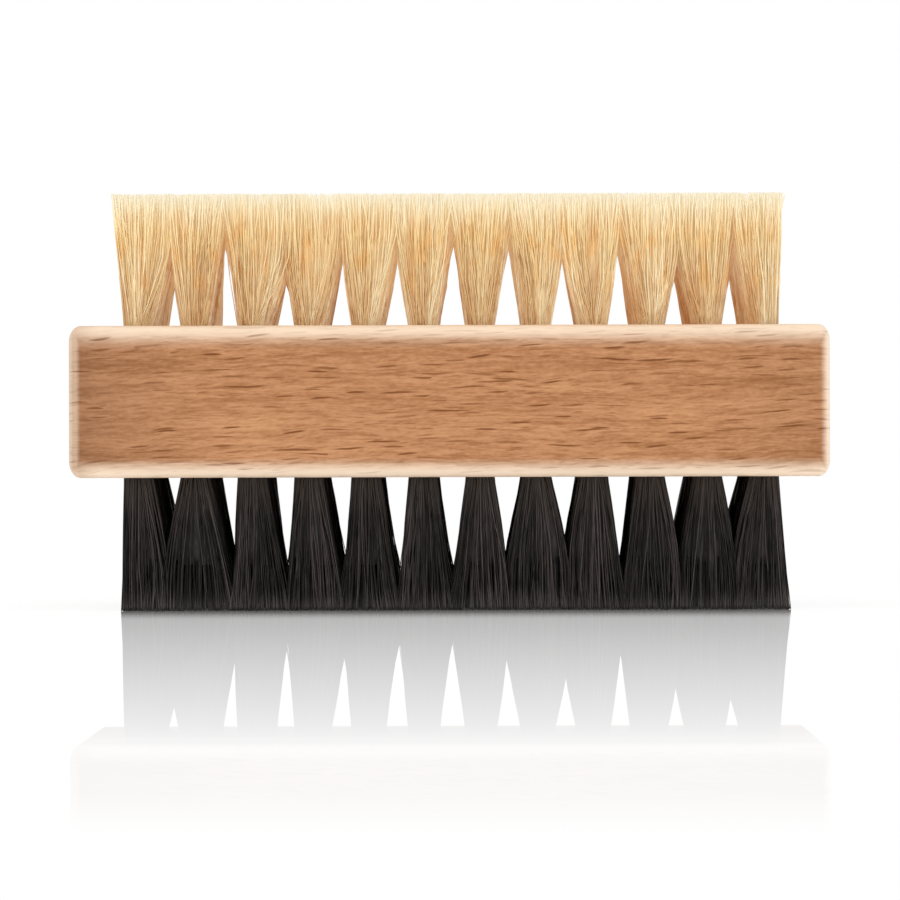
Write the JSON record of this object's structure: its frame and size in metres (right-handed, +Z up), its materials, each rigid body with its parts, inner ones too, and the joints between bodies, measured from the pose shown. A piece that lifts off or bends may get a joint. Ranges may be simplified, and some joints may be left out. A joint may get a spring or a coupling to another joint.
{
  "type": "shoe brush",
  "caption": "Two-sided pocket shoe brush: a rounded beech block with pale natural bristle tufts on one face and dark bristle tufts on the other.",
  "frame": {"origin": "on the floor under the middle of the block, in the plane of the cut tips of the dark bristle", "axes": "+X along the block's length, +Y to its back face, +Z up through the pale bristle; -Y is the broad face that the picture shows"},
  "size_m": [0.11, 0.038, 0.0604],
  "materials": {
    "beech": "fine-sanded and lightly waxed, with short dark flecks and paler rounded edges",
    "light_bristle": "natural pale bristle, cream at the cut tips and golden brown at the roots",
    "dark_bristle": "near-black bristle with a soft sheen along its length",
    "anchor_wire": "drawn flat wire"
  },
  "bodies": {
    "root": {"beech_block": "beech", "light_tufts_01": "light_bristle", "light_tufts_02": "light_bristle", "light_tufts_03": "light_bristle", "light_tufts_04": "light_bristle", "light_tufts_05": "light_bristle", "light_tufts_06": "light_bristle", "light_tufts_07": "light_bristle", "light_tufts_08": "light_bristle", "light_tufts_09": "light_bristle", "light_tufts_10": "light_bristle", "light_tufts_11": "light_bristle", "light_tufts_12": "light_bristle", "dark_tufts_01": "dark_bristle", "dark_tufts_02": "dark_bristle", "dark_tufts_03": "dark_bristle", "dark_tufts_04": "dark_bristle", "dark_tufts_05": "dark_bristle", "dark_tufts_06": "dark_bristle", "dark_tufts_07": "dark_bristle", "dark_tufts_08": "dark_bristle", "dark_tufts_09": "dark_bristle", "dark_tufts_10": "dark_bristle", "dark_tufts_11": "dark_bristle", "dark_tufts_12": "dark_bristle", "light_anchor_01": "anchor_wire", "light_anchor_02": "anchor_wire", "light_anchor_03": "anchor_wire", "light_anchor_04": "anchor_wire", "light_anchor_05": "anchor_wire", "light_anchor_06": "anchor_wire", "light_anchor_07": "anchor_wire", "light_anchor_08": "anchor_wire", "light_anchor_09": "anchor_wire", "light_anchor_10": "anchor_wire", "light_anchor_11": "anchor_wire", "light_anchor_12": "anchor_wire", "dark_anchor_01": "anchor_wire", "dark_anchor_02": "anchor_wire", "dark_anchor_03": "anchor_wire", "dark_anchor_04": "anchor_wire", "dark_anchor_05": "anchor_wire", "dark_anchor_06": "anchor_wire", "dark_anchor_07": "anchor_wire", "dark_anchor_08": "anchor_wire", "dark_anchor_09": "anchor_wire", "dark_anchor_10": "anchor_wire", "dark_anchor_11": "anchor_wire", "dark_anchor_12": "anchor_wire"}
  },
  "joints": []
}
